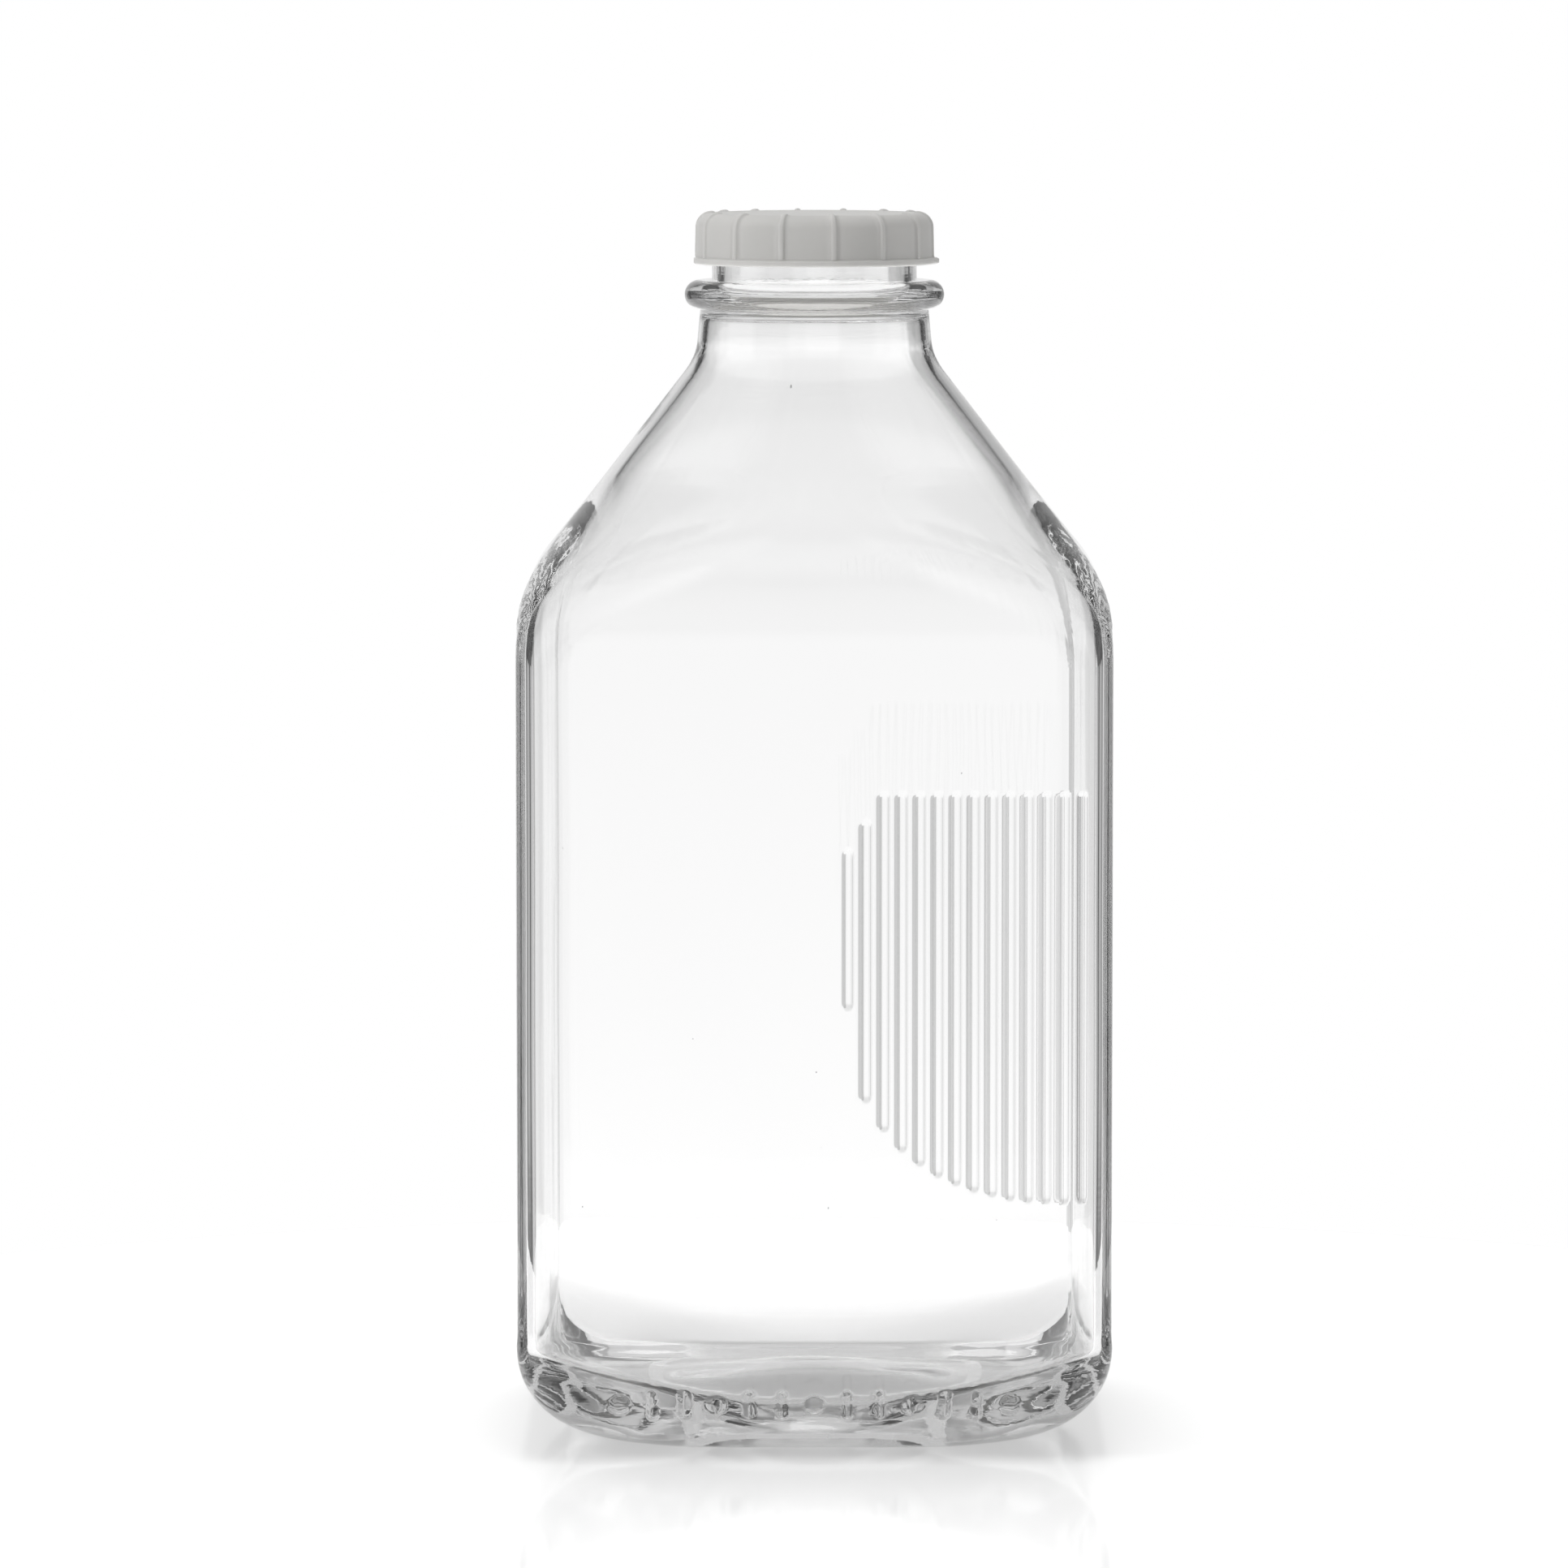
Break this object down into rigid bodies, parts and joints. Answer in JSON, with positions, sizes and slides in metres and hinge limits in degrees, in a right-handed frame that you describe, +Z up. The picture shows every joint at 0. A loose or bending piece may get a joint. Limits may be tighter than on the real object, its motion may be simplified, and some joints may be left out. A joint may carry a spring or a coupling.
{
  "type": "milk bottle",
  "caption": "Clear square milk bottle with a cone shoulder, beaded neck, upright grip ribs and a push-on ribbed plastic cap.",
  "frame": {"origin": "centre of the base, on the ground", "axes": "+Z up the bottle's axis, the ribbed face looks towards -Y"},
  "size_m": [0.1156, 0.116, 0.2409],
  "materials": {
    "clear_glass": "clear flint glass, smooth",
    "cap_plastic": "translucent natural polyethylene, satin"
  },
  "bodies": {
    "bottle": {"glass_bottle": "clear_glass"},
    "lid": {"cap": "cap_plastic"}
  },
  "joints": [
    {"name": "cap_lift", "type": "slide", "parent": "bottle", "child": "lid", "axis": [0, 0, 1], "range_m": [0, 0.04]}
  ]
}
